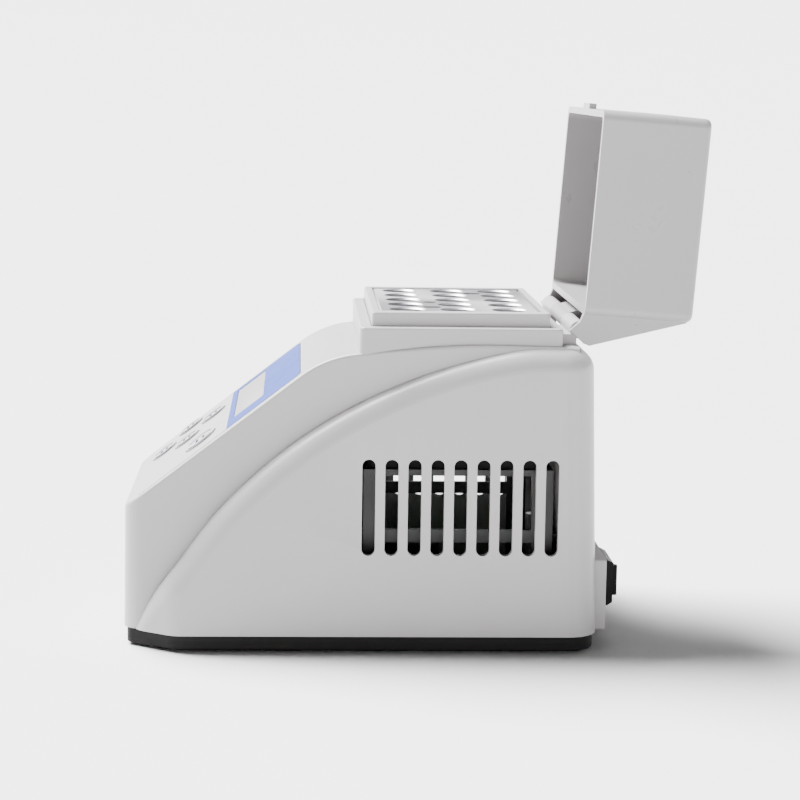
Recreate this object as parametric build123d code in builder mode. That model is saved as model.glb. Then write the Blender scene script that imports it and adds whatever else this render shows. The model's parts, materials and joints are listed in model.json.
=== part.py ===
"""Dry block heater: bench-top dry bath with a sloped control panel, a fifteen-well
aluminium block and a hinged lid.  Millimetres, +Z up.  The origin is the middle of the
footprint on the bench.  The control panel faces -Y, the power switch is on the +Y side."""
import os
from math import atan, cos, radians, sin

from build123d import *

os.makedirs("parts", exist_ok=True)

# ---------------------------------------------------------------- overall body
body_width = 110.0
body_length = 155.0
wall = 2.5
housing_bottom = 5.0
front_lean = 0.4
rear_lean = 3.0
panel_slope = 0.773
panel_height = 70.4
panel_middle = 33.0
nose_radius = 8.0
shoulder_start = 57.5
deck_front = 75.0
deck_height = 99.6
shoulder_drop = 3.2
deck_rear_drop = 0.5
rear_edge_radius = 5.0

# ---------------------------------------------------------------- console and side wings
console_front_half = 44.8
console_rear_half = 49.6
console_taper_end = 32.0
console_corner = 7.0
crease_radius = 1.0
wing_front = 60.5
wing_nose = 79.0
wing_nose_half = 42.5
wing_edge = 7.0
wing_corner = 10.0

# ---------------------------------------------------------------- vents
vent_count = 9
vent_pitch = 7.39
vent_width = 4.3
vent_low = 31.8
vent_high = 63.2

# ---------------------------------------------------------------- block and its surround
block_centre = 31.5
well_columns = 3
well_rows = 5
well_pitch_y = 16.8
well_pitch_x = 15.9
well_diameter = 11.0
well_depth = 33.0
well_cone = 5.0
well_tip = 2.0
well_lip = 0.5
block_half_x = 39.4
block_half_y = 26.0
block_top = 109.3
block_bottom = 64.0
tier_half_x = 48.2
tier_half_y = 32.8
tier_top = 105.0
tier_corner = 1.8
collar_half_x = 44.2
collar_half_y = 28.9
collar_top = 109.6
collar_foot = 98.0
collar_flange = 1.3
part_gap = 0.25
block_gap = 0.35
edge_soft = 0.7
block_corner = 1.0
pocket_gap = 0.3
hex_depth = 1.4
pad_corner = 2.0

# ---------------------------------------------------------------- screws
screw_shank = 1.5
screw_head = 2.75
screw_head_height = 2.5
thread_fit = 0.05
screw_clearance = 0.4
block_screw_spots = [(24.0, 23.1), (-24.0, 39.9)]
block_screw_sink = 5.5
thermometer_spot = (7.9, 23.1)
thermometer_radius = 2.3
thermometer_depth = 30.0

# ---------------------------------------------------------------- heater stack
pad_thickness = 1.6
pad_inset = 1.0
spreader_thickness = 2.0
insulation_floor = 58.3
insulation_half_x = 43.3
insulation_half_y = 30.0
insulation_top = 97.5
insulation_corner = 3.0
frame_plate = 2.0
frame_half_x = 45.0
frame_half_y = 31.0
frame_leg_width = 7.0
frame_foot = 8.0
rail_low = 34.2
rail_high = 38.4
probe_radius = 1.5
probe_height = 67.6
probe_start = -2.0
probe_end = 27.0
probe_tip_gap = 1.0

# ---------------------------------------------------------------- base
base_underside = 0.0
base_floor = 3.3
base_inset = 1.2
lip_inset = 3.0
lip_top = 9.0
lip_wall = 2.0
lip_gap = 27.0
foot_radius = 6.0
foot_seat = 1.2
foot_proud = 0.8
foot_fit = 0.05
foot_x = 41.0
foot_front = -54.0
foot_rear = 61.0
boss_radius = 3.6
base_nose_corner = 5.0
boss_x = 48.6
boss_front = -47.0
boss_rear = 67.0
boss_seat = 9.3
boss_top = 26.0
boss_hole_end = 3.0
screw_end_gap = 1.0
head_recess = 0.4

# ---------------------------------------------------------------- boards
board_thickness = 1.6
power_half_x = 35.0
power_front = -34.0
power_rear = 44.0
power_underside = 9.0
power_hole_inset = 4.0
transformer = (-20.0, -18.0, 9.0, 8.0, 15.0)
relay = (4.0, -20.0, 8.0, 9.0, 12.0)
filter_choke = (-18.0, 14.0, 8.0, 12.0, 14.0)
heat_sink_base = (14.0, 14.0, 9.5, 13.0, 2.5)
capacitor_spots = [(22.0, -22.0), (22.0, -8.0)]
capacitor_radius = 5.0
capacitor_height = 16.0
fin_count = 5
fin_pitch = 4.0
fin_thickness = 1.6
fin_height = 20.0
standoff_radius = 2.8
control_half_x = 39.5
control_low = -33.0
control_high = 27.0
control_face = -9.5
control_post_radius = 3.0
control_post_inset = 3.5
control_screw_shank = 1.2
control_screw_head = 2.35
control_screw_reach = 4.0
control_head_height = 1.6

# ---------------------------------------------------------------- control panel
film_depth = 0.5
film_proud = 0.1
label_half_x = 42.6
label_low = -35.5
label_split = 0.5
label_high = 30.6
label_corner = 2.0
window_left = -36.4
window_right = 27.0
window_low = 3.2
window_high = 15.2
window_corner = 0.8
window_gap = 0.2
lens_depth = 2.0
display_face = -2.6
display_depth = 5.9
display_border = 2.8
glass_inset = 1.0
glass_proud = 0.3
display_leg = 1.2
key_proud = 0.6
key_gap = 0.35
key_rim = 1.0
key_rim_thickness = 1.5
key_bottom = -4.9
pad_half_x = 6.0
pad_half_s = 5.0
start_half_x = 8.6
start_half_s = 6.0
cross_x = -20.5
cross_s = -18.3
cross_reach_x = 14.0
cross_reach_s = 10.8
start_x = 22.0
start_s = -11.0
contact_top = -5.7
contact_size = 6.0
contact_face = -6.8
contact_radius = 1.6

# ---------------------------------------------------------------- lid and hinge
open_angle = 94.0
hinge_y = 69.7
hinge_z = 104.2
lid_gap = 0.1
lid_height = 35.0
lid_wall = 2.2
lid_corner = 3.0
lid_edge = 2.0
hood_half_x = 45.6
hood_wall = 2.0
hood_foot_y = 4.6
hood_foot_z = 3.6
knuckle_radius = 2.8
knuckle_gap = 0.3
lug_inner = 15.3
lug_outer = 42.7
cheek_radius = 3.0
pin_radius = 1.0
pin_fit = 0.05
pin_cap = 1.0
pin_play = 0.3
tab_width = 16.0
tab_height = 2.4
tab_proud = 1.8

# ---------------------------------------------------------------- rear
rear_pad_half_x = 44.8
rear_pad_face = 80.7
rear_pad_top = 28.8
rear_pad_corner = 0.8
switch_x = 33.9
switch_z = 20.8
switch_long = 21.0
switch_tall = 15.0
flange_thickness = 2.3
flange_bevel = 0.8
switch_body_long = 18.8
switch_body_tall = 12.6
switch_body_depth = 14.0
rocker_room = 1.0
switch_mouth = 9.0
blade_spread = 5.0
blade_thickness = 0.8
blade_width = 4.8
blade_length = 7.0
rocker_half = 7.2
rocker_half_tall = 5.0
rocker_gap = 0.35
rocker_tilt = 10.0
rocker_reach = 3.9
rocker_waist = 2.4
rocker_root = 3.0
rocker_root_half = 2.5
rocker_skirt = 1.0
rocker_taper = 0.8
rocker_sink = 0.4
jack_x = -31.0
jack_z = 17.5
jack_radius = 4.0
jack_flange_radius = 5.6
jack_flange = 1.6
jack_depth = 14.0
jack_bore = 3.0
jack_pin = 1.0

# ---------------------------------------------------------------- derived
front_y = -body_length / 2
rear_y = body_length / 2
half_width = body_width / 2
deck_mid = block_centre + 13.5
slope_angle = atan(panel_slope)
panel_y = front_y + panel_middle
panel_plane = Plane(
    origin=(0, panel_y, panel_height),
    x_dir=(1, 0, 0),
    z_dir=(0, -sin(slope_angle), cos(slope_angle)),
)
lid_plane = Plane(
    origin=(0, hinge_y, hinge_z),
    x_dir=(1, 0, 0),
    z_dir=(0, sin(radians(open_angle)), cos(radians(open_angle))),
)
well_spots = [
    ((row - (well_rows - 1) / 2) * well_pitch_x, block_centre + (col - (well_columns - 1) / 2) * well_pitch_y)
    for row in range(well_rows)
    for col in range(well_columns)
]
boss_spots = [(side * boss_x, y) for side in (-1, 1) for y in (boss_front, boss_rear)]
foot_spots = [(side * foot_x, y) for side in (-1, 1) for y in (foot_front, foot_rear)]
post_spots = [
    (side * (control_half_x - control_post_inset), s)
    for side in (-1, 1)
    for s in (control_low + control_post_inset, control_high - control_post_inset)
]
key_table = {
    "key_up": (cross_x, cross_s + cross_reach_s, pad_half_x, pad_half_s),
    "key_down": (cross_x, cross_s - cross_reach_s, pad_half_x, pad_half_s),
    "key_left": (cross_x - cross_reach_x, cross_s, pad_half_x, pad_half_s),
    "key_right": (cross_x + cross_reach_x, cross_s, pad_half_x, pad_half_s),
    "key_start": (start_x, start_s, start_half_x, start_half_s),
}


def panel_z(y):
    """Height of the sloped panel's surface at a distance along the body."""
    return panel_height + panel_slope * (y - panel_y)


def console_outline(inset):
    """Side profile of the console, moved inwards by inset."""
    shoulder_y = front_y + shoulder_start
    deck_y = front_y + deck_front
    corner_z = panel_z(front_y + front_lean)
    with BuildSketch(Plane.YZ) as profile:
        with BuildLine():
            Line((front_y, 0), (front_y + front_lean, corner_z))
            Line((front_y + front_lean, corner_z), (shoulder_y, panel_z(shoulder_y)))
            TangentArc(
                (shoulder_y, panel_z(shoulder_y)),
                (deck_y, deck_height - shoulder_drop),
                tangent=(1, panel_slope),
            )
            ThreePointArc(
                (deck_y, deck_height - shoulder_drop),
                ((deck_y + deck_mid) / 2, deck_height - shoulder_drop * 0.2),
                (deck_mid, deck_height),
            )
            Line((deck_mid, deck_height), (rear_y - rear_lean, deck_height - deck_rear_drop))
            Line((rear_y - rear_lean, deck_height - deck_rear_drop), (rear_y, 0))
            Line((rear_y, 0), (front_y, 0))
        make_face()
        nose = profile.vertices().sort_by(Axis.Y)[0:2].sort_by(Axis.Z)[-1]
        fillet(nose, radius=nose_radius)
        top_rear = profile.vertices().group_by(Axis.Y)[-2]
        fillet(top_rear, radius=rear_edge_radius)
        if inset > 0:
            offset(amount=-inset, mode=Mode.REPLACE)
    return profile.sketch


def wing_outline(inset):
    """Side profile of the side wings: the swept line that rises from the front foot to the deck."""
    shift = 0.8 * inset
    sweep = [
        (front_y + 0.5, 0.0),
        (-69.5, 13.5),
        (-59.0, 28.5),
        (-49.5, 41.5),
        (-38.0, 53.8),
        (-25.0, 65.2),
        (-10.5, 75.3),
        (10.0, 86.0),
        (31.0, 93.8),
        (50.0, 98.2),
    ]
    rise = [(y + shift, z - shift) for y, z in sweep]
    back = rear_y - rear_lean - inset
    with BuildSketch(Plane.YZ) as profile:
        with BuildLine():
            Spline(*rise, (back, deck_height - 1.0 - inset), tangents=[(1, 1.4), (1, 0)])
            Line((back, deck_height - 1.0 - inset), (rear_y - inset, -shift))
            Line((rear_y - inset, -shift), rise[0])
        make_face()
    return profile.sketch


def console_plan(inset):
    """Plan of the console: a little narrower at the front."""
    with BuildSketch() as plan:
        with BuildLine():
            Polyline(
                (-console_front_half, front_y - 5),
                (console_front_half, front_y - 5),
                (console_rear_half, console_taper_end),
                (console_rear_half, rear_y - 8),
                (-console_rear_half, rear_y - 8),
                (-console_rear_half, console_taper_end),
                close=True,
            )
        make_face()
        if inset > 0:
            offset(amount=-inset, mode=Mode.REPLACE)
    return plan.sketch


def wing_plan(inset):
    """Plan of the wings: angled front corners and rounded rear corners."""
    with BuildSketch() as plan:
        with BuildLine():
            Polyline(
                (-half_width, -wing_front),
                (-wing_nose_half, -wing_nose),
                (wing_nose_half, -wing_nose),
                (half_width, -wing_front),
                (half_width, rear_y + 5),
                (-half_width, rear_y + 5),
                close=True,
            )
        make_face()
        if inset > 0:
            offset(amount=-inset, mode=Mode.REPLACE)
    return plan.sketch


def rounded_box(centre_x, centre_y, half_x, half_y, low, high, corner=0.0):
    """Upright block between two heights, with rounded vertical corners if asked for."""
    with BuildSketch(Plane.XY.offset(low)) as layer:
        with Locations((centre_x, centre_y)):
            if corner > 0:
                RectangleRounded(2 * half_x, 2 * half_y, corner)
            else:
                Rectangle(2 * half_x, 2 * half_y)
    extrude(layer.sketch, amount=high - low)


def cut_box(centre_x, centre_y, half_x, half_y, low, high):
    """Upright rectangular cut between two heights."""
    with BuildSketch(Plane.XY.offset(low)) as layer:
        with Locations((centre_x, centre_y)):
            Rectangle(2 * half_x, 2 * half_y)
    extrude(layer.sketch, amount=high - low, mode=Mode.SUBTRACT)


def posts(spots, radius, low, high, mode=Mode.ADD):
    """Upright round posts or holes at several spots."""
    with BuildSketch(Plane.XY.offset(low)) as layer:
        with Locations(*spots):
            Circle(radius)
    extrude(layer.sketch, amount=high - low, mode=mode)


def panel_posts(spots, radius, low, high, mode=Mode.ADD):
    """Round posts or holes square to the sloped panel."""
    with BuildSketch(panel_plane.offset(low)) as layer:
        with Locations(*spots):
            Circle(radius)
    extrude(layer.sketch, amount=high - low, mode=mode)


def panel_rect(left, right, low_s, high_s, low, high, corner=0.0, mode=Mode.ADD):
    """Rectangular layer or cut parallel to the sloped panel."""
    with BuildSketch(panel_plane.offset(low)) as layer:
        with Locations(((left + right) / 2, (low_s + high_s) / 2)):
            if corner > 0:
                RectangleRounded(right - left, high_s - low_s, corner)
            else:
                Rectangle(right - left, high_s - low_s)
    extrude(layer.sketch, amount=high - low, mode=mode)


def panel_oval(key, grow, low, high, mode=Mode.ADD):
    """Oval layer or cut parallel to the sloped panel, at one key."""
    centre_x, centre_s, half_x, half_s = key_table[key]
    with BuildSketch(panel_plane.offset(low)) as layer:
        with Locations((centre_x, centre_s)):
            Ellipse(half_x + grow, half_s + grow)
    extrude(layer.sketch, amount=high - low, mode=mode)


def rod_x(plane_y, plane_z, radius, low, high, mode=Mode.ADD):
    """Round rod or hole along X."""
    with BuildSketch(Plane.YZ.offset(low)) as layer:
        with Locations((plane_y, plane_z)):
            Circle(radius)
    extrude(layer.sketch, amount=high - low, mode=mode)


def wings_and_console(inset, edge, low):
    """Adds the console and the side wings, both moved inwards by inset."""
    with BuildPart(mode=Mode.PRIVATE) as wings:
        extrude(wing_outline(inset), amount=half_width, both=True)
        with BuildSketch(Plane.XY.offset(low)):
            add(wing_plan(inset))
        extrude(amount=deck_height * 1.2, mode=Mode.INTERSECT)
        upright = wings.edges().filter_by(lambda e: abs(e.tangent_at(0.5).Z) > 0.97)
        fillet(upright.filter_by(lambda e: abs(e.center().X) > wing_nose_half), radius=wing_corner - inset)
        flank = wings.edges().filter_by(lambda e: abs(e.center().X) > half_width - inset - 0.5)
        level = flank.filter_by(lambda e: e.center().Z > 20 and abs(e.tangent_at(0.5).Z) < 0.97)
        fillet(level, radius=edge)
    with BuildPart(mode=Mode.PRIVATE) as console:
        extrude(console_outline(inset), amount=half_width, both=True)
        with BuildSketch(Plane.XY.offset(low)):
            add(console_plan(inset))
        extrude(amount=deck_height * 1.2, mode=Mode.INTERSECT)
        upright = console.edges().filter_by(lambda e: abs(e.tangent_at(0.5).Z) > 0.97)
        fillet(upright.filter_by(lambda e: e.center().Y < front_y + 10), radius=console_corner - inset)
        if inset == 0:
            crease = console.edges().filter_by(lambda e: e.center().Z > 40 and abs(e.tangent_at(0.5).X) < 0.3)
            fillet(crease.filter_by(lambda e: e.center().Y < console_taper_end), radius=crease_radius)
    add(wings.part)
    add(console.part)


# ---------------------------------------------------------------- housing
with BuildPart() as cavity:
    wings_and_console(wall, wing_edge - wall, 0)

with BuildPart() as housing:
    wings_and_console(0, wing_edge, housing_bottom)
    rounded_box(0, block_centre, tier_half_x, tier_half_y, deck_height - 20, tier_top, tier_corner)
    rim = housing.edges().filter_by(lambda e: abs(e.center().Z - tier_top) < 0.01)
    fillet(rim, radius=edge_soft)
    # raised pad on the rear wall for the switch and the power socket
    with BuildSketch(Plane.XZ.offset(-rear_pad_face)):
        with Locations((0, (housing_bottom + rear_pad_top) / 2)):
            RectangleRounded(2 * rear_pad_half_x, rear_pad_top - housing_bottom, rear_pad_corner)
    extrude(amount=rear_pad_face - rear_y + 6)
    add(cavity.part, mode=Mode.SUBTRACT)
    # room inside the raised deck, and its opening for the collar
    cut_box(0, block_centre, tier_half_x - wall, tier_half_y - wall, deck_height - 22, tier_top - wall)
    cut_box(0, block_centre, collar_half_x + part_gap, collar_half_y + part_gap, tier_top - 2 * wall, tier_top + 1)
    # hinge lugs behind the deck
    for side in (-1, 1):
        low = min(side * lug_inner, side * lug_outer)
        high = max(side * lug_inner, side * lug_outer)
        rod_x(hinge_y, hinge_z, knuckle_radius, low, high)
        with BuildSketch(Plane.YZ.offset(low)):
            with BuildLine():
                Polyline(
                    (block_centre + tier_half_y - 1, hinge_z - 1.4),
                    (hinge_y, hinge_z - 1.4),
                    (hinge_y - 0.6, hinge_z - 2.0),
                    (hinge_y - 0.6, deck_height - 1.5),
                    (block_centre + tier_half_y - 1, deck_height - 1.5),
                    close=True,
                )
            make_face()
        extrude(amount=high - low)
        rod_x(hinge_y, hinge_z, pin_radius + pin_fit, low - 1, high + 1, Mode.SUBTRACT)
    # vents
    with BuildSketch(Plane.YZ):
        with Locations((block_centre, (vent_low + vent_high) / 2)):
            with GridLocations(vent_pitch, 1, vent_count, 1):
                SlotOverall(vent_high - vent_low, vent_width, rotation=90)
    extrude(amount=half_width + 1, both=True, mode=Mode.SUBTRACT)
    # screw bosses
    posts(boss_spots, boss_radius, boss_seat, boss_top)
    posts(boss_spots, screw_shank + thread_fit, boss_seat - 1, boss_top - boss_hole_end, Mode.SUBTRACT)
    panel_posts(post_spots, control_post_radius, control_face, -wall + 0.5)
    panel_posts(post_spots, control_screw_shank + thread_fit, control_face - 1, -wall - 0.5, Mode.SUBTRACT)
    # recess for the labels, display opening and key openings
    panel_rect(-label_half_x - window_gap, label_half_x + window_gap, label_low - window_gap,
               label_high + window_gap, -film_depth, 3, label_corner + window_gap, Mode.SUBTRACT)
    panel_rect(window_left - window_gap, window_right + window_gap, window_low - window_gap,
               window_high + window_gap, -2 * wall, 1, window_corner + window_gap, Mode.SUBTRACT)
    for key in key_table:
        panel_oval(key, key_gap, -2 * wall, 1, Mode.SUBTRACT)
    # openings in the rear pad
    with BuildSketch(Plane.XZ.offset(-rear_pad_face)):
        with Locations((switch_x, switch_z)):
            Rectangle(switch_body_long + 2 * part_gap, switch_body_tall + 2 * part_gap)
        with Locations((jack_x, jack_z)):
            Circle(jack_radius + key_gap)
    extrude(amount=20, mode=Mode.SUBTRACT)
housing.part.label = "housing"
export_step(housing.part, "parts/housing.step")

# ---------------------------------------------------------------- base plate and feet
def base_plan(inset):
    """Plan of the base, moved inwards from the housing's own outline."""
    with BuildSketch() as plan:
        add(wing_plan(0))
        corners = plan.vertices().filter_by(lambda v: abs(v.X) > wing_nose_half)
        fillet(corners.filter_by(lambda v: v.Y < 0), radius=wing_corner)
        with Locations((0, 0)):
            Rectangle(2 * body_width, body_length, mode=Mode.INTERSECT)
        rear_corners = plan.vertices().group_by(Axis.Y)[-1]
        fillet(rear_corners, radius=wing_corner)
        front_corners = plan.vertices().group_by(Axis.Y)[0]
        fillet(front_corners, radius=base_nose_corner)
        offset(amount=-inset, mode=Mode.REPLACE)
    return plan.sketch


with BuildPart() as base_plate:
    extrude(base_plan(base_inset), amount=housing_bottom)
    extrude(base_plan(lip_inset), amount=lip_top)
    # the lip runs along the sides and the rear only
    cut_box(0, front_y, half_width, lip_gap, housing_bottom, lip_top + 1)
    extrude(base_plan(lip_inset + lip_wall).moved(Location((0, 0, base_floor))), amount=lip_top, mode=Mode.SUBTRACT)
    low_edge = base_plate.edges().filter_by(lambda e: abs(e.center().Z - base_underside) < 0.01)
    fillet(low_edge, radius=edge_soft)
    posts(boss_spots, boss_radius, base_floor - 0.5, boss_seat)
    posts(boss_spots, screw_shank + screw_clearance, -1, boss_seat + 1, Mode.SUBTRACT)
    posts(boss_spots, screw_head + screw_clearance, -1, base_underside + screw_head_height, Mode.SUBTRACT)
    posts(foot_spots, foot_radius + foot_fit, -1, foot_seat, Mode.SUBTRACT)
base_plate.part.label = "base_plate"
export_step(base_plate.part, "parts/base_plate.step")

with BuildPart() as rubber_feet:
    posts(foot_spots, foot_radius, -foot_proud, foot_seat)
    foot_rims = rubber_feet.edges().filter_by(lambda e: e.center().Z < 0)
    fillet(foot_rims, radius=edge_soft / 2)
rubber_feet.part.label = "rubber_feet"
export_step(rubber_feet.part, "parts/rubber_feet.step")

with BuildPart() as housing_screws:
    posts(boss_spots, screw_shank, base_underside + screw_head_height - head_recess, boss_top - boss_hole_end - screw_end_gap)
    posts(boss_spots, screw_head, base_underside + head_recess, base_underside + screw_head_height)
housing_screws.part.label = "housing_screws"
export_step(housing_screws.part, "parts/housing_screws.step")

# ---------------------------------------------------------------- block, collar and insulation
with BuildPart() as block_collar:
    rounded_box(0, block_centre, collar_half_x, collar_half_y, collar_foot, collar_top, block_corner)
    collar_rim = block_collar.edges().filter_by(lambda e: abs(e.center().Z - collar_top) < 0.01)
    fillet(collar_rim, radius=edge_soft)
    rounded_box(0, block_centre, collar_half_x + collar_flange, collar_half_y + collar_flange - part_gap,
                collar_foot, tier_top - wall)
    cut_box(0, block_centre, block_half_x + block_gap, block_half_y + block_gap, collar_foot - 1, collar_top + 1)
block_collar.part.label = "block_collar"
export_step(block_collar.part, "parts/block_collar.step")

with BuildPart() as heat_block:
    rounded_box(0, block_centre, block_half_x, block_half_y, block_bottom, block_top)
    upright = heat_block.edges().filter_by(Axis.Z)
    fillet(upright, radius=block_corner)
    top_rim = heat_block.faces().sort_by(Axis.Z)[-1].edges()
    chamfer(top_rim, length=well_lip)
    posts(well_spots, well_diameter / 2, block_top - well_depth, block_top + 1, Mode.SUBTRACT)
    # conical well floors for the tube tips
    for spot in well_spots:
        with Locations((spot[0], spot[1], block_top - well_depth - well_cone / 2)):
            Cone(well_tip, well_diameter / 2, well_cone, mode=Mode.SUBTRACT)
        with Locations((spot[0], spot[1], block_top - well_lip / 2)):
            Cone(well_diameter / 2, well_diameter / 2 + well_lip, well_lip, mode=Mode.SUBTRACT)
    posts(block_screw_spots, screw_head + pocket_gap, block_top - block_screw_sink, block_top + 1, Mode.SUBTRACT)
    posts(block_screw_spots, screw_shank + screw_clearance, block_bottom - 1, block_top, Mode.SUBTRACT)
    posts([thermometer_spot], thermometer_radius, block_top - thermometer_depth, block_top + 1, Mode.SUBTRACT)
    with BuildSketch(Plane.XZ.offset(-probe_end)) as probe_bore:
        with Locations((0, probe_height)):
            Circle(probe_radius + thread_fit)
    extrude(probe_bore.sketch, amount=probe_end, mode=Mode.SUBTRACT)
heat_block.part.label = "heat_block"
export_step(heat_block.part, "parts/heat_block.step")

with BuildPart() as block_screws:
    head_low = block_top - block_screw_sink
    posts(block_screw_spots, screw_shank, insulation_floor - frame_plate, head_low + 0.5)
    posts(block_screw_spots, screw_head, head_low, head_low + screw_head_height)
    for spot in block_screw_spots:
        with BuildSketch(Plane.XY.offset(head_low + screw_head_height)) as socket:
            with Locations(spot):
                RegularPolygon(screw_head / 2, 6)
        extrude(socket.sketch, amount=-hex_depth, mode=Mode.SUBTRACT)
block_screws.part.label = "block_screws"
export_step(block_screws.part, "parts/block_screws.step")

spreader_bottom = block_bottom - pad_thickness - spreader_thickness
with BuildPart() as heater_pad:
    rounded_box(0, block_centre, block_half_x - pad_inset, block_half_y - pad_inset, block_bottom - pad_thickness,
                block_bottom, pad_corner)
    posts(block_screw_spots, screw_shank + screw_clearance, spreader_bottom, block_bottom + 1, Mode.SUBTRACT)
heater_pad.part.label = "heater_pad"
export_step(heater_pad.part, "parts/heater_pad.step")

with BuildPart() as pressure_plate:
    rounded_box(0, block_centre, block_half_x - pad_inset / 2, block_half_y - pad_inset / 2, spreader_bottom,
                spreader_bottom + spreader_thickness, pad_corner)
    posts(block_screw_spots, screw_shank + screw_clearance, spreader_bottom - 1, block_bottom, Mode.SUBTRACT)
pressure_plate.part.label = "pressure_plate"
export_step(pressure_plate.part, "parts/pressure_plate.step")

with BuildPart() as insulation:
    rounded_box(0, block_centre, insulation_half_x, insulation_half_y, insulation_floor, insulation_top, insulation_corner)
    cut_box(0, block_centre, block_half_x + part_gap, block_half_y + part_gap, spreader_bottom, insulation_top + 1)
    posts(block_screw_spots, screw_shank + screw_clearance, insulation_floor - 1, spreader_bottom + 1, Mode.SUBTRACT)
    with BuildSketch(Plane.XZ) as probe_way:
        with Locations((0, probe_height)):
            Circle(probe_radius + key_gap)
    extrude(probe_way.sketch, amount=-(block_centre - block_half_y), mode=Mode.SUBTRACT)
insulation.part.label = "insulation"
export_step(insulation.part, "parts/insulation.step")

with BuildPart() as temperature_probe:
    with BuildSketch(Plane.XZ.offset(-probe_end + probe_tip_gap)) as probe_section:
        with Locations((0, probe_height)):
            Circle(probe_radius)
    extrude(probe_section.sketch, amount=probe_end - probe_tip_gap - probe_start)
temperature_probe.part.label = "temperature_probe"
export_step(temperature_probe.part, "parts/temperature_probe.step")

with BuildPart() as support_frame:
    rounded_box(0, block_centre, frame_half_x, frame_half_y, insulation_floor - frame_plate, insulation_floor)
    posts(block_screw_spots, screw_shank + thread_fit, insulation_floor - frame_plate - 1, insulation_floor + 1,
          Mode.SUBTRACT)
    for side in (-1, 1):
        rail_x = side * (frame_half_x - frame_plate / 2)
        rounded_box(rail_x, block_centre, frame_plate / 2, frame_half_y, rail_low, rail_high)
        for end in (-1, 1):
            leg_y = block_centre + end * (frame_half_y - frame_leg_width / 2)
            rounded_box(rail_x, leg_y, frame_plate / 2, frame_leg_width / 2, base_floor, insulation_floor)
            foot_middle = side * (frame_half_x - frame_foot / 2)
            rounded_box(foot_middle, leg_y, frame_foot / 2, frame_leg_width / 2, base_floor, base_floor + frame_plate)
support_frame.part.label = "support_frame"
export_step(support_frame.part, "parts/support_frame.step")

# ---------------------------------------------------------------- power board
power_mid = (power_front + power_rear) / 2
power_half_y = (power_rear - power_front) / 2
power_posts = [
    (side * (power_half_x - power_hole_inset), y)
    for side in (-1, 1)
    for y in (power_front + power_hole_inset, power_rear - power_hole_inset)
]
power_top = power_underside + board_thickness
with BuildPart() as power_board:
    rounded_box(0, power_mid, power_half_x, power_half_y, power_underside, power_top, 2)
    posts(power_posts, screw_shank + thread_fit, power_underside - 1, power_top + 1, Mode.SUBTRACT)
power_board.part.label = "power_board"
export_step(power_board.part, "parts/power_board.step")

with BuildPart() as power_components:
    for x, y, half_x, half_y, height in (transformer, relay, filter_choke, heat_sink_base):
        rounded_box(x, y, half_x, half_y, power_top, power_top + height)
    posts(capacitor_spots, capacitor_radius, power_top, power_top + capacitor_height)
    sink_x, sink_y, sink_half_x, sink_half_y, sink_height = heat_sink_base
    for fin in range(fin_count):
        fin_x = sink_x + (fin - (fin_count - 1) / 2) * fin_pitch
        rounded_box(fin_x, sink_y, fin_thickness / 2, sink_half_y, power_top + sink_height - 0.5, power_top + fin_height)
power_components.part.label = "power_components"
export_step(power_components.part, "parts/power_components.step")

with BuildPart() as board_standoffs:
    posts(power_posts, standoff_radius, base_floor, power_underside)
    posts(power_posts, screw_shank, power_underside - 0.5, power_top + 0.5)
    posts(power_posts, screw_head, power_top, power_top + control_head_height)
board_standoffs.part.label = "board_standoffs"
export_step(board_standoffs.part, "parts/board_standoffs.step")

# ---------------------------------------------------------------- control board and display
with BuildPart() as control_board:
    panel_rect(-control_half_x, control_half_x, control_low, control_high, control_face - board_thickness,
               control_face, 2)
    panel_posts(post_spots, control_screw_shank + screw_clearance, control_face - 3, control_face + 1, Mode.SUBTRACT)
control_board.part.label = "control_board"
export_step(control_board.part, "parts/control_board.step")

control_back = control_face - board_thickness
with BuildPart() as control_screws:
    panel_posts(post_spots, control_screw_shank, control_back - 0.5, control_face + control_screw_reach)
    panel_posts(post_spots, control_screw_head, control_back - control_head_height, control_back)
control_screws.part.label = "control_screws"
export_step(control_screws.part, "parts/control_screws.step")

with BuildPart() as key_contacts:
    for key in key_table:
        spot = key_table[key][0:2]
        panel_rect(spot[0] - contact_size / 2, spot[0] + contact_size / 2, spot[1] - contact_size / 2,
                   spot[1] + contact_size / 2, control_face, contact_face)
        panel_posts([spot], contact_radius, contact_face - 0.5, contact_top)
key_contacts.part.label = "key_contacts"
export_step(key_contacts.part, "parts/key_contacts.step")

with BuildPart() as display_module:
    panel_rect(window_left - display_border, window_right + display_border, window_low - display_border,
               window_high + display_border, display_face - display_depth, display_face)
    panel_rect(window_left + glass_inset, window_right - glass_inset, window_low + glass_inset,
               window_high - glass_inset, display_face - glass_inset, display_face + glass_proud)
    legs = [(x, s) for x in (window_left, window_right) for s in (window_low, window_high)]
    panel_posts(legs, display_leg, control_face, display_face - glass_inset)
display_module.part.label = "display_module"
export_step(display_module.part, "parts/display_module.step")

with BuildPart() as display_lens:
    panel_rect(window_left, window_right, window_low, window_high, -lens_depth, 0, window_corner)
display_lens.part.label = "display_lens"
export_step(display_lens.part, "parts/display_lens.step")

with BuildPart() as display_label:
    panel_rect(-label_half_x, label_half_x, label_split, label_high, -film_depth, film_proud, label_corner)
    panel_rect(-label_half_x, label_half_x, label_split, label_split + 5, -film_depth, film_proud)
    panel_rect(window_left - window_gap, window_right + window_gap, window_low - window_gap,
               window_high + window_gap, -2, 2, window_corner + window_gap, Mode.SUBTRACT)
display_label.part.label = "display_label"
export_step(display_label.part, "parts/display_label.step")

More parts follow.
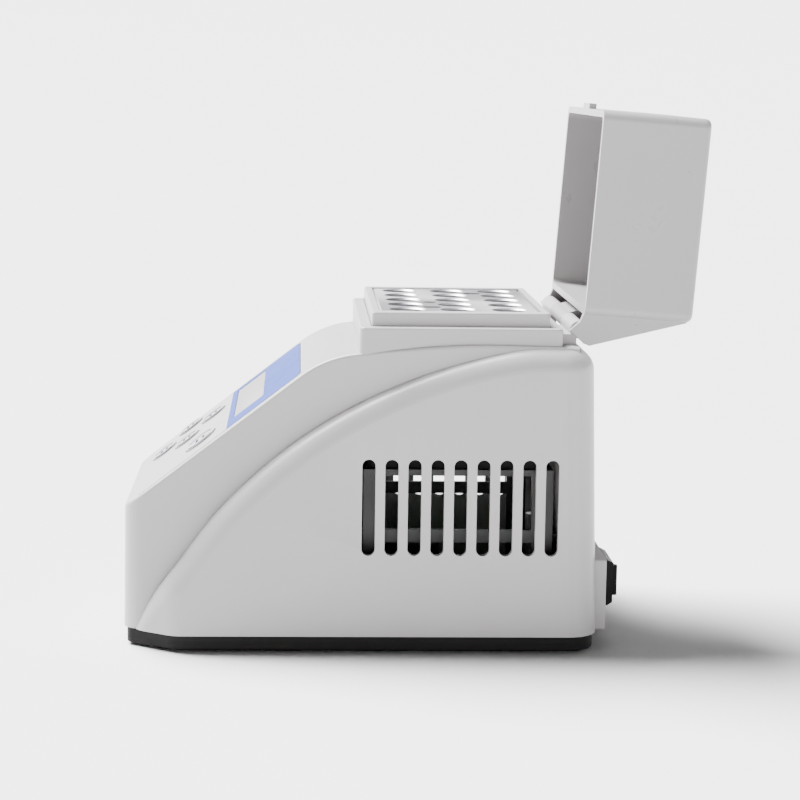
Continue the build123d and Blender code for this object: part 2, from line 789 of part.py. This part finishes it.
with BuildPart() as keypad_label:
    panel_rect(-label_half_x, label_half_x, label_low, label_split, -film_depth, film_proud, label_corner)
    panel_rect(-label_half_x, label_half_x, label_split - 5, label_split, -film_depth, film_proud)
    for key in key_table:
        panel_oval(key, key_gap, -2, 2, Mode.SUBTRACT)
keypad_label.part.label = "keypad_label"
export_step(keypad_label.part, "parts/keypad_label.step")

for key in key_table:
    with BuildPart() as key_pad:
        panel_oval(key, 0, key_bottom + 0.5, key_proud)
        panel_oval(key, key_rim, -wall - key_rim_thickness, -wall)
        panel_oval(key, -1.5, key_bottom, -wall)
    key_pad.part.label = key
    export_step(key_pad.part, "parts/" + key + ".step")

# ---------------------------------------------------------------- lid
lid_front = block_centre - tier_half_y - hinge_y
lid_rear = block_centre + tier_half_y - hinge_y
lid_mid = (lid_front + lid_rear) / 2
lid_rim = tier_top + lid_gap - hinge_z
lid_top = lid_rim + lid_height


def lid_block(half_x, low_y, high_y, low, high, corner=0.0, mode=Mode.ADD):
    """Block in the closed lid's own directions, measured from the hinge pin."""
    with BuildSketch(lid_plane.offset(low)) as layer:
        with Locations((0, (low_y + high_y) / 2)):
            if corner > 0:
                RectangleRounded(2 * half_x, high_y - low_y, corner)
            else:
                Rectangle(2 * half_x, high_y - low_y)
    extrude(layer.sketch, amount=high - low, mode=mode)


hinge_side = Plane(origin=(0, hinge_y, hinge_z), x_dir=lid_plane.y_dir, z_dir=(1, 0, 0))


def hood_web(points, low, high, mode=Mode.ADD):
    """Plate across X, drawn in the closed lid's own side view and measured from the hinge pin."""
    with BuildSketch(hinge_side.offset(low)) as layer:
        with BuildLine():
            Polyline(*points, close=True)
        make_face()
    extrude(layer.sketch, amount=high - low, mode=mode)


hood_outer = [
    (lid_rear - 1.0, lid_top - 1.5),
    (lid_rear + 0.2, lid_top - 1.5),
    (hood_foot_y, hood_foot_z),
    (hood_foot_y - 0.6, hood_foot_z - 2.0),
    (0.0, -cheek_radius),
    (-cheek_radius, 0.0),
    (lid_rear - 1.0, lid_rim + 0.2),
]
hood_inner = [
    (lid_rear - 2.0, lid_top - 9.0),
    (hood_foot_y - hood_wall, hood_foot_z),
    (hood_foot_y, -8.0),
    (lid_rear - 2.0, -8.0),
]
with BuildPart() as lid:
    lid_block(tier_half_x, lid_front, lid_rear, lid_rim, lid_top, lid_corner)
    crown = lid.faces().sort_by(Axis.Y)[-1].edges()
    fillet(crown, radius=lid_edge)
    hood_web(hood_outer, -hood_half_x, hood_half_x)
    hood_web(hood_inner, -lug_outer - knuckle_gap, lug_outer + knuckle_gap, Mode.SUBTRACT)
    rod_x(hinge_y, hinge_z, knuckle_radius + knuckle_gap, -lug_outer - knuckle_gap, lug_outer + knuckle_gap,
          Mode.SUBTRACT)
    lid_block(tier_half_x - lid_wall, lid_front + lid_wall, lid_rear - lid_wall, lid_rim - 20,
              lid_top - lid_wall, lid_corner - 1, Mode.SUBTRACT)
    # rear wall between the chamber and the hood
    lid_block(lug_outer + knuckle_gap, lid_rear - lid_wall, lid_rear, lid_rim, lid_top - lid_wall)
    # middle knuckle on its web
    knuckle_half = lug_inner - knuckle_gap
    with BuildSketch(hinge_side.offset(-knuckle_half)) as knuckle:
        Circle(knuckle_radius)
        with BuildLine():
            Polyline((-knuckle_radius, 0), (knuckle_radius, 0), (knuckle_radius, 7), (lid_rear, 7), close=True)
        make_face()
    extrude(knuckle.sketch, amount=2 * knuckle_half)
    # finger tab on the front rim
    lid_block(tab_width / 2, lid_front - tab_proud, lid_front + 1, lid_rim + 0.2, lid_rim + 0.2 + tab_height)
    rod_x(hinge_y, hinge_z, pin_radius + pin_fit, -hood_half_x + pin_cap, hood_half_x - pin_cap, Mode.SUBTRACT)
lid.part.label = "lid"
export_step(lid.part, "parts/lid.step")

with BuildPart() as hinge_pin:
    rod_x(hinge_y, hinge_z, pin_radius, -hood_half_x + pin_cap + pin_play, hood_half_x - pin_cap - pin_play)
hinge_pin.part.label = "hinge_pin"
export_step(hinge_pin.part, "parts/hinge_pin.step")

# ---------------------------------------------------------------- switch and power socket
flange_face = rear_pad_face + flange_thickness
with BuildPart() as switch_body:
    with BuildSketch(Plane.XZ.offset(-rear_pad_face)) as flange:
        with Locations((switch_x, switch_z)):
            Rectangle(switch_long, switch_tall)
    extrude(flange.sketch, amount=-flange_thickness)
    chamfer(switch_body.faces().sort_by(Axis.Y)[-1].edges(), length=flange_thickness * 0.75, length2=flange_bevel)
    with BuildSketch(Plane.XZ.offset(-rear_pad_face)) as barrel:
        with Locations((switch_x, switch_z)):
            Rectangle(switch_body_long, switch_body_tall)
    extrude(barrel.sketch, amount=switch_body_depth)
    with BuildSketch(Plane.XZ.offset(-flange_face - 1)) as mouth:
        with Locations((switch_x, switch_z)):
            Rectangle(2 * (rocker_half + rocker_room), 2 * (rocker_half_tall + rocker_gap))
    extrude(mouth.sketch, amount=switch_mouth, mode=Mode.SUBTRACT)
    with BuildSketch(Plane.XZ.offset(-rear_pad_face + switch_body_depth)) as blades:
        with Locations((switch_x - blade_spread, switch_z), (switch_x + blade_spread, switch_z)):
            Rectangle(blade_thickness, blade_width)
    extrude(blades.sketch, amount=blade_length)
switch_body.part.label = "switch_body"
export_step(switch_body.part, "parts/switch_body.step")

rocker_pivot_y = rear_pad_face - rocker_sink
tilt = radians(rocker_tilt)
rocker_plane = Plane(
    origin=(switch_x, rocker_pivot_y, switch_z),
    x_dir=(cos(tilt), sin(tilt), 0),
    z_dir=(0, 0, 1),
)
with BuildPart() as switch_rocker:
    with BuildSketch(rocker_plane) as rocker_side:
        with BuildLine():
            Polyline(
                (-rocker_half, rocker_reach),
                (0, rocker_waist),
                (rocker_half, rocker_reach),
                (rocker_half - rocker_taper, -rocker_skirt),
                (rocker_root_half, -rocker_root),
                (-rocker_root_half, -rocker_root),
                (-rocker_half + rocker_taper, -rocker_skirt),
                close=True,
            )
        make_face()
    extrude(rocker_side.sketch, amount=rocker_half_tall, both=True)
    tips = switch_rocker.edges().filter_by(Axis.Z).sort_by(Axis.Y)[-1]
    fillet(tips, radius=rocker_taper)
switch_rocker.part.label = "switch_rocker"
export_step(switch_rocker.part, "parts/switch_rocker.step")

with BuildPart() as power_socket:
    with BuildSketch(Plane.XZ.offset(-rear_pad_face)) as socket_flange:
        with Locations((jack_x, jack_z)):
            Circle(jack_flange_radius)
    extrude(socket_flange.sketch, amount=-jack_flange)
    with BuildSketch(Plane.XZ.offset(-rear_pad_face)) as socket_barrel:
        with Locations((jack_x, jack_z)):
            Circle(jack_radius)
    extrude(socket_barrel.sketch, amount=jack_depth)
    with BuildSketch(Plane.XZ.offset(-rear_pad_face - jack_flange - 1)) as socket_bore:
        with Locations((jack_x, jack_z)):
            Circle(jack_bore)
    extrude(socket_bore.sketch, amount=jack_depth - 1, mode=Mode.SUBTRACT)
    with BuildSketch(Plane.XZ.offset(-rear_pad_face + jack_depth)) as centre_pin:
        with Locations((jack_x, jack_z)):
            Circle(jack_pin)
    extrude(centre_pin.sketch, amount=-jack_depth - jack_flange + 1.5)
power_socket.part.label = "power_socket"
export_step(power_socket.part, "parts/power_socket.step")
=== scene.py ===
"""Looks of the dry block heater: materials, printed marks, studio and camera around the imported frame."""
import json
import math

import bmesh
import bpy
from mathutils import Matrix, Vector


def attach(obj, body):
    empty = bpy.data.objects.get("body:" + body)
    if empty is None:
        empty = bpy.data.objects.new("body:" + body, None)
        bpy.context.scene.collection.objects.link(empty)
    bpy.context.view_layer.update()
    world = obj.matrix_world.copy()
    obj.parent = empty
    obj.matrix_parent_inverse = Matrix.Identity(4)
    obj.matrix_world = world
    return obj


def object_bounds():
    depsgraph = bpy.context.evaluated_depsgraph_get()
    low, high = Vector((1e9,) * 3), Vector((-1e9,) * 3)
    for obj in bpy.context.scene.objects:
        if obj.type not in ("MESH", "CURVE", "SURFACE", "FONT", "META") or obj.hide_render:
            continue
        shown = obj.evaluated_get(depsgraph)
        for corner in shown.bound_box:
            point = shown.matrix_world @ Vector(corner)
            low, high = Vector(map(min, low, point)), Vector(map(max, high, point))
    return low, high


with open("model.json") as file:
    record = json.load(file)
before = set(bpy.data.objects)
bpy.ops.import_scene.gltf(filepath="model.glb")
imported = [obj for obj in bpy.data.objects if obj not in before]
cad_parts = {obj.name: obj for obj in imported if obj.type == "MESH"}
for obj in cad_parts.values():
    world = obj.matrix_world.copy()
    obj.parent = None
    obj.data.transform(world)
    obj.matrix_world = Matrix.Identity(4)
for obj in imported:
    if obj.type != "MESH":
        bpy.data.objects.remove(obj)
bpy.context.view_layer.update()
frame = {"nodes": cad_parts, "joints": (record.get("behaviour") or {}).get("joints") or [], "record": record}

MM = 0.001
nodes = frame["nodes"]
joints = {j["name"]: j for j in frame["joints"]}

# colours, linear
HOUSING = (0.345, 0.33, 0.333)
BLUE = (0.05, 0.078, 0.29)
BASE_BLACK = (0.005, 0.0045, 0.0045)
INK_BLUE = (0.006, 0.01, 0.05)
# painted shade for the deep walls of the wells, not a colour of the metal
WELL_PAINTED_SHADE = (0.12, 0.12, 0.13)
WINDOW_ALPHA = 0.65

# heights in metres between which the well walls go from the top colour to the painted shade that stands for
# the shade deep in the wells
WELL_SHADE_TOP = 0.1085
WELL_SHADE_LOW = 0.098

# sockets of a mix node when it mixes colours
MIX_A, MIX_B, MIX_RESULT = 6, 7, 2


# ---------------------------------------------------------------- materials
def new_material(name):
    """An empty node material with its shader."""
    m = bpy.data.materials.new(name)
    m.use_nodes = True
    return m, m.node_tree.nodes, m.node_tree.links, m.node_tree.nodes["Principled BSDF"]


def noise(tree, links, coords, scale, detail=4.0, rough=0.55):
    """Noise texture on object coordinates."""
    n = tree.new("ShaderNodeTexNoise")
    n.inputs["Scale"].default_value = scale
    n.inputs["Detail"].default_value = detail
    n.inputs["Roughness"].default_value = rough
    links.new(coords.outputs["Object"], n.inputs["Vector"])
    return n


def remap(tree, links, source, low, high, to_low, to_high):
    """Maps a value between two limits."""
    r = tree.new("ShaderNodeMapRange")
    r.inputs["From Min"].default_value = low
    r.inputs["From Max"].default_value = high
    r.inputs["To Min"].default_value = to_low
    r.inputs["To Max"].default_value = to_high
    links.new(source, r.inputs["Value"])
    return r.outputs["Result"]


def mix_color(tree, links, factor, a, b):
    """Mixes two colours, each a tuple or a socket, by a factor socket."""
    x = tree.new("ShaderNodeMix")
    x.data_type = "RGBA"
    for value, socket in ((a, x.inputs[MIX_A]), (b, x.inputs[MIX_B])):
        if isinstance(value, tuple):
            socket.default_value = (*value, 1)
        else:
            links.new(value, socket)
    links.new(factor, x.inputs[0])
    return x.outputs[MIX_RESULT]


def shade(color, k):
    """A colour made darker or lighter by a factor."""
    return tuple(min(1.0, max(0.0, c * k)) for c in color)


def moulded(name, color, rough, grain, depth, mottle, worn=0.0, spec=0.5):
    """Plastic, rubber, foam or ink: fine grain, slow mottling, uneven sheen and, if worn, paler edges."""
    m, tree, links, bsdf = new_material(name)
    coords = tree.new("ShaderNodeTexCoord")
    slow = noise(tree, links, coords, 22.0, 3.0)
    fine = noise(tree, links, coords, grain, 2.0, 0.6)
    smudge = noise(tree, links, coords, 55.0, 5.0, 0.65)
    factor = remap(tree, links, slow.outputs["Fac"], 0.3, 0.7, 0.0, 1.0)
    tone = mix_color(tree, links, factor, shade(color, 1 - mottle), shade(color, 1 + mottle))
    if worn > 0:
        geo = tree.new("ShaderNodeNewGeometry")
        edge = remap(tree, links, geo.outputs["Pointiness"], 0.53, 0.60, 0.0, worn)
        tone = mix_color(tree, links, edge, tone, shade(color, 1.25))
    links.new(tone, bsdf.inputs["Base Color"])
    sheen = remap(tree, links, smudge.outputs["Fac"], 0.3, 0.75, rough - 0.05, rough + 0.08)
    links.new(sheen, bsdf.inputs["Roughness"])
    bump = tree.new("ShaderNodeBump")
    bump.inputs["Strength"].default_value = 0.35
    bump.inputs["Distance"].default_value = depth
    links.new(fine.outputs["Fac"], bump.inputs["Height"])
    links.new(bump.outputs["Normal"], bsdf.inputs["Normal"])
    bsdf.inputs["Specular IOR Level"].default_value = spec
    return m


def metal(name, color, rough, grain, depth=0.00001, aniso=0.0):
    """Worked metal: tool marks stretched by the three grain scales, and slow stains."""
    m, tree, links, bsdf = new_material(name)
    coords = tree.new("ShaderNodeTexCoord")
    mapping = tree.new("ShaderNodeMapping")
    mapping.inputs["Scale"].default_value = grain
    links.new(coords.outputs["Object"], mapping.inputs["Vector"])
    marks = tree.new("ShaderNodeTexNoise")
    marks.inputs["Scale"].default_value = 6.0
    marks.inputs["Detail"].default_value = 6.0
    links.new(mapping.outputs["Vector"], marks.inputs["Vector"])
    stain = noise(tree, links, coords, 60.0, 4.0)
    factor = remap(tree, links, stain.outputs["Fac"], 0.3, 0.7, 0.0, 1.0)
    tone = mix_color(tree, links, factor, shade(color, 0.9), shade(color, 1.05))
    links.new(tone, bsdf.inputs["Base Color"])
    sheen = remap(tree, links, marks.outputs["Fac"], 0.3, 0.7, rough - 0.07, rough + 0.1)
    links.new(sheen, bsdf.inputs["Roughness"])
    bump = tree.new("ShaderNodeBump")
    bump.inputs["Strength"].default_value = 0.3
    bump.inputs["Distance"].default_value = depth
    links.new(marks.outputs["Fac"], bump.inputs["Height"])
    links.new(bump.outputs["Normal"], bsdf.inputs["Normal"])
    bsdf.inputs["Metallic"].default_value = 1.0
    bsdf.inputs["Anisotropic"].default_value = aniso
    return m


def window(name, color):
    """Tinted display window, partly see-through, with faint smears."""
    m, tree, links, bsdf = new_material(name)
    coords = tree.new("ShaderNodeTexCoord")
    smear = noise(tree, links, coords, 90.0, 5.0)
    links.new(remap(tree, links, smear.outputs["Fac"], 0.35, 0.75, 0.05, 0.16), bsdf.inputs["Roughness"])
    tint = remap(tree, links, smear.outputs["Fac"], 0.3, 0.7, 0.0, 1.0)
    links.new(mix_color(tree, links, tint, color, shade(color, 0.96)), bsdf.inputs["Base Color"])
    bsdf.inputs["Alpha"].default_value = WINDOW_ALPHA
    return m


def board(name, color):
    """Circuit board: solder mask with faint traces under it."""
    m, tree, links, bsdf = new_material(name)
    coords = tree.new("ShaderNodeTexCoord")
    brick = tree.new("ShaderNodeTexBrick")
    brick.inputs["Scale"].default_value = 160.0
    brick.inputs["Mortar Size"].default_value = 0.06
    brick.inputs["Color1"].default_value = (*color, 1)
    brick.inputs["Color2"].default_value = (*shade(color, 1.3), 1)
    brick.inputs["Mortar"].default_value = (*shade(color, 2.2), 1)
    links.new(coords.outputs["Object"], brick.inputs["Vector"])
    links.new(brick.outputs["Color"], bsdf.inputs["Base Color"])
    fine = noise(tree, links, coords, 500.0)
    links.new(remap(tree, links, fine.outputs["Fac"], 0.3, 0.7, 0.25, 0.4), bsdf.inputs["Roughness"])
    return m


def block_metal(name):
    """Machined block: the metal's own colour on the top face, and well walls darkened with depth as painted
    shade.
    """
    m = metal(name, (0.47, 0.46, 0.49), 0.38, (40, 900, 200), 0.000012, 0.3)
    tree, links = m.node_tree.nodes, m.node_tree.links
    bsdf = tree["Principled BSDF"]
    coords = tree.new("ShaderNodeTexCoord")
    split = tree.new("ShaderNodeSeparateXYZ")
    links.new(coords.outputs["Object"], split.inputs["Vector"])
    # painted shade: the well walls get darker towards the bottom of the wells, where shade falls
    depth = remap(tree, links, split.outputs["Z"], WELL_SHADE_LOW, WELL_SHADE_TOP, 1.0, 0.0)
    top_color = bsdf.inputs["Base Color"].links[0].from_socket
    links.new(mix_color(tree, links, depth, top_color, WELL_PAINTED_SHADE), bsdf.inputs["Base Color"])
    return m


finishes = {
    "housing_plastic": moulded("housing_plastic", HOUSING, 0.36, 2600, 0.000015, 0.015, worn=0.35),
    "base_plastic": moulded("base_plastic", BASE_BLACK, 0.55, 2200, 0.00003, 0.1, worn=0.2, spec=0.15),
    "foot_rubber": moulded("foot_rubber", (0.02, 0.02, 0.02), 0.8, 1500, 0.00005, 0.1),
    "screw_steel": metal("screw_steel", (0.55, 0.55, 0.57), 0.32, (900, 60, 900)),
    "collar_plastic": moulded("collar_plastic", HOUSING, 0.34, 2600, 0.000015, 0.015, worn=0.3),
    "block_aluminium": block_metal("block_aluminium"),
    "heater_silicone": moulded("heater_silicone", (0.5, 0.1, 0.04), 0.6, 900, 0.00006, 0.1),
    "plate_aluminium": metal("plate_aluminium", (0.68, 0.68, 0.7), 0.3, (900, 40, 900)),
    "insulation_foam": moulded("insulation_foam", (0.02, 0.02, 0.02), 0.95, 420, 0.0005, 0.25, spec=0.1),
    "frame_steel": moulded("frame_steel", (0.03, 0.03, 0.032), 0.45, 1200, 0.00003, 0.15),
    "board_laminate": board("board_laminate", (0.015, 0.13, 0.05)),
    "component_plastic": moulded("component_plastic", (0.03, 0.03, 0.035), 0.35, 900, 0.00002, 0.15),
    "standoff_brass": metal("standoff_brass", (0.75, 0.55, 0.22), 0.28, (600, 600, 60)),
    "display_plastic": moulded("display_plastic", (0.28, 0.265, 0.28), 0.5, 1800, 0.00001, 0.03),
    "lens_clear": window("lens_clear", (0.25, 0.235, 0.25)),
    "label_blue": moulded("label_blue", BLUE, 0.5, 1800, 0.00001, 0.03, spec=0.04),
    "label_pale": moulded("label_pale", shade(HOUSING, 1.04), 0.45, 1800, 0.00001, 0.012),
    "key_plastic": moulded("key_plastic", shade(HOUSING, 1.02), 0.42, 1800, 0.00001, 0.015),
    "lid_plastic": moulded("lid_plastic", shade(HOUSING, 0.8), 0.3, 2600, 0.000012, 0.015, worn=0.3),
    "switch_black": moulded("switch_black", (0.002, 0.002, 0.0025), 0.4, 1500, 0.00002, 0.15, spec=0.08),
}
print_ink = moulded("print_ink", INK_BLUE, 0.7, 1500, 0.00001, 0.1, spec=0.0)

for entry in frame["record"]["subparts"]:
    node = nodes[entry["node"]]
    finish = finishes[entry["material_slot"]]
    for holder in node.material_slots:
        holder.material = finish
    if not node.material_slots:
        node.data.materials.append(finish)


# ---------------------------------------------------------------- printed marks
FLAT_TOLERANCE = 0.02 * MM


def finished(name, bm, material, body):
    """Turns a bmesh into a piece that rides on a body."""
    mesh = bpy.data.meshes.new(name)
    bmesh.ops.recalc_face_normals(bm, faces=bm.faces)
    bm.to_mesh(mesh)
    bm.free()
    o = bpy.data.objects.new(name, mesh)
    bpy.context.scene.collection.objects.link(o)
    mesh.materials.append(material)
    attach(o, body)
    return o


def top_of(node, normal):
    """Centre of a node's outermost flat face along a direction, and the face's points."""
    points = [v.co.copy() for v in nodes[node].data.vertices]
    reach = max(p.dot(normal) for p in points)
    face = [p for p in points if p.dot(normal) > reach - FLAT_TOLERANCE]
    low = Vector([min(p[i] for p in face) for i in range(3)])
    high = Vector([max(p[i] for p in face) for i in range(3)])
    return (low + high) / 2, face


def strip(bm, centre_line, widths, normal, thickness):
    """Raised strip that follows a line; the widths are given point by point, so its ends can taper."""
    rings = []
    for i, p in enumerate(centre_line):
        ahead = centre_line[min(i + 1, len(centre_line) - 1)]
        behind = centre_line[max(i - 1, 0)]
        side = (ahead - behind).cross(normal).normalized() * widths[i] / 2
        low = [p - side, p + side]
        ring = [bm.verts.new(q) for q in low] + [bm.verts.new(q + normal * thickness) for q in reversed(low)]
        rings.append(ring)
    for a, b in zip(rings, rings[1:]):
        for k in range(4):
            bm.faces.new((a[k], a[(k + 1) % 4], b[(k + 1) % 4], b[k]))
    bm.faces.new(rings[0])
    bm.faces.new(list(reversed(rings[-1])))


inward = Vector(joints["press_up"]["axis"]).normalized()
normal = -inward
right = Vector((1, 0, 0))
upslope = normal.cross(right)

INK = 0.05 * MM

# key prints: two crescents inside the key's rim and two dashes, as shares of the key's half size
ARC_STEPS = 20
ARC_SPREAD = math.radians(62)
ARC_INSET = 0.86
ARC_TIP_WIDTH = 0.5 * MM
ARC_EXTRA_WIDTH = 0.9 * MM
DASHES = ((-0.25, 0.25, 0.5), (-0.3, -0.2, 0.6))
DASH_WIDTH = 0.9 * MM
DASH_POINTS = 5

# rocker marks
SMALLEST_FACE = 10 * MM * MM  # leaves out the rounded edges between the two faces
RING_STEPS = 24
RING_RADIUS = 1.5 * MM
RING_WIDTH = 0.5 * MM

key_bodies = {
    "key_up": "up_key", "key_down": "down_key", "key_left": "left_key", "key_right": "right_key",
    "key_start": "start_key",
}
for node, body in key_bodies.items():
    centre, face = top_of(node, normal)
    half_x = max((p - centre).dot(right) for p in face)
    half_s = max((p - centre).dot(upslope) for p in face)
    bm = bmesh.new()
    for side in (-1, 1):
        line = []
        widths = []
        for i in range(ARC_STEPS + 1):
            t = i / ARC_STEPS * 2 - 1
            angle = t * ARC_SPREAD
            x = side * half_x * ARC_INSET * math.cos(angle)
            s = half_s * ARC_INSET * math.sin(angle)
            line.append(centre + right * x + upslope * s)
            widths.append(ARC_TIP_WIDTH + ARC_EXTRA_WIDTH * (1 - t * t))
        strip(bm, line, widths, normal, INK)
    for x_part, s_part, length in DASHES:
        start = centre + right * half_x * x_part + upslope * half_s * s_part
        line = [start + right * half_x * length * i / (DASH_POINTS - 1) for i in range(DASH_POINTS)]
        strip(bm, line, [DASH_WIDTH] * DASH_POINTS, normal, INK)
    finished(node + "_print", bm, print_ink, body)

# a ring on each of the rocker's two large faces, grouped by their tilt
rocker_bm = bmesh.new()
sides = {}
for p in nodes["switch_rocker"].data.polygons:
    if p.normal.y > 0.8:
        sides.setdefault(round(p.normal.x, 1), []).append(p)
for group in sides.values():
    area = sum(p.area for p in group)
    if area < SMALLEST_FACE:
        continue
    centre = sum((p.center * p.area for p in group), Vector()) / area
    out = group[0].normal.copy()
    up = Vector((0, 0, 1))
    along = up.cross(out).normalized()
    ring = []
    for i in range(RING_STEPS + 1):
        a = i / RING_STEPS * 2 * math.pi
        ring.append(centre + (along * math.cos(a) + up * math.sin(a)) * RING_RADIUS)
    strip(rocker_bm, ring, [RING_WIDTH] * (RING_STEPS + 1), out, INK)
finished("rocker_marks", rocker_bm, finishes["label_pale"], "rocker")

# ---------------------------------------------------------------- studio
floor_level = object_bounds()[0][2]
floor_mesh = bpy.data.meshes.new("floor")
fb = bmesh.new()
# radius and rise in metres: flat round the object, then a shallow bowl that hides the horizon
FLOOR_RINGS = ((2.0, 0.0), (10.0, 0.0), (30.0, 0.8), (50.0, 2.6), (70.0, 5.4), (90.0, 9.2), (110.0, 14.0))
FLOOR_SIDES = 48
PAPER_DARK = (0.66, 0.66, 0.66)
PAPER_LIGHT = (0.68, 0.68, 0.68)
rings = []
for radius, rise in FLOOR_RINGS:
    ring = []
    for i in range(FLOOR_SIDES):
        a = i / FLOOR_SIDES * 2 * math.pi
        ring.append(fb.verts.new((radius * math.cos(a), radius * math.sin(a), floor_level + rise)))
    rings.append(ring)
fb.faces.new(rings[0])
for inner, outer in zip(rings, rings[1:]):
    for i in range(FLOOR_SIDES):
        j = (i + 1) % FLOOR_SIDES
        fb.faces.new((inner[i], outer[i], outer[j], inner[j]))
for face in fb.faces:
    face.smooth = True
fb.to_mesh(floor_mesh)
fb.free()
floor = bpy.data.objects.new("floor", floor_mesh)
bpy.context.scene.collection.objects.link(floor)
floor_material, tree, links, bsdf = new_material("floor_paper")
coords = tree.new("ShaderNodeTexCoord")
paper = noise(tree, links, coords, 8.0)
paper_factor = remap(tree, links, paper.outputs["Fac"], 0.3, 0.7, 0, 1)
links.new(mix_color(tree, links, paper_factor, PAPER_DARK, PAPER_LIGHT), bsdf.inputs["Base Color"])
bsdf.inputs["Roughness"].default_value = 0.9
floor_mesh.materials.append(floor_material)

world = bpy.data.worlds.new("studio")
bpy.context.scene.world = world
world.use_nodes = True
world.node_tree.nodes["Background"].inputs["Color"].default_value = (1, 1, 1, 1)
world.node_tree.nodes["Background"].inputs["Strength"].default_value = 0.2

FILL_PLACE = Vector((0.9, 0.5, 0.5))
FILL_AIM = Vector((0, 0, 0.07))
SUN_DIRECTION = Vector((0.36, 0.42, -0.83))

fill_data = bpy.data.lights.new("side_fill", "AREA")
fill_data.shape = "RECTANGLE"
fill_data.size, fill_data.size_y = 0.5, 0.5
fill_data.energy = 0.12
fill = bpy.data.objects.new("side_fill", fill_data)
bpy.context.scene.collection.objects.link(fill)
fill.location = FILL_PLACE
fill.rotation_euler = (FILL_AIM - FILL_PLACE).to_track_quat("-Z", "Y").to_euler()

sun_data = bpy.data.lights.new("overhead", "SUN")
sun_data.energy = 25.0
sun_data.angle = 0.7
sun = bpy.data.objects.new("overhead", sun_data)
bpy.context.scene.collection.objects.link(sun)
sun.rotation_euler = SUN_DIRECTION.to_track_quat("-Z", "Y").to_euler()

# ---------------------------------------------------------------- camera
# worked out from the photo's single view
CAMERA_PLACE = Vector((764.45, -21.43, 184.79)) * MM
CAMERA_FORWARD = Vector((-0.98873, 0.04594, -0.14246))
CAMERA_RIGHT = Vector((0.04434, 0.99891, 0.01434))

camera_data = bpy.data.cameras.new("camera")
camera_data.sensor_width = 36.0
camera_data.lens = 101.25
camera_data.clip_start = 0.01
camera_data.clip_end = 400.0
camera = bpy.data.objects.new("camera", camera_data)
bpy.context.scene.collection.objects.link(camera)
forward = CAMERA_FORWARD.normalized()
cam_right = (CAMERA_RIGHT - forward * CAMERA_RIGHT.dot(forward)).normalized()
cam_up = cam_right.cross(forward)
turn = Matrix((cam_right, cam_up, -forward)).transposed()
camera.matrix_world = Matrix.Translation(CAMERA_PLACE) @ turn.to_4x4()
bpy.context.scene.camera = camera
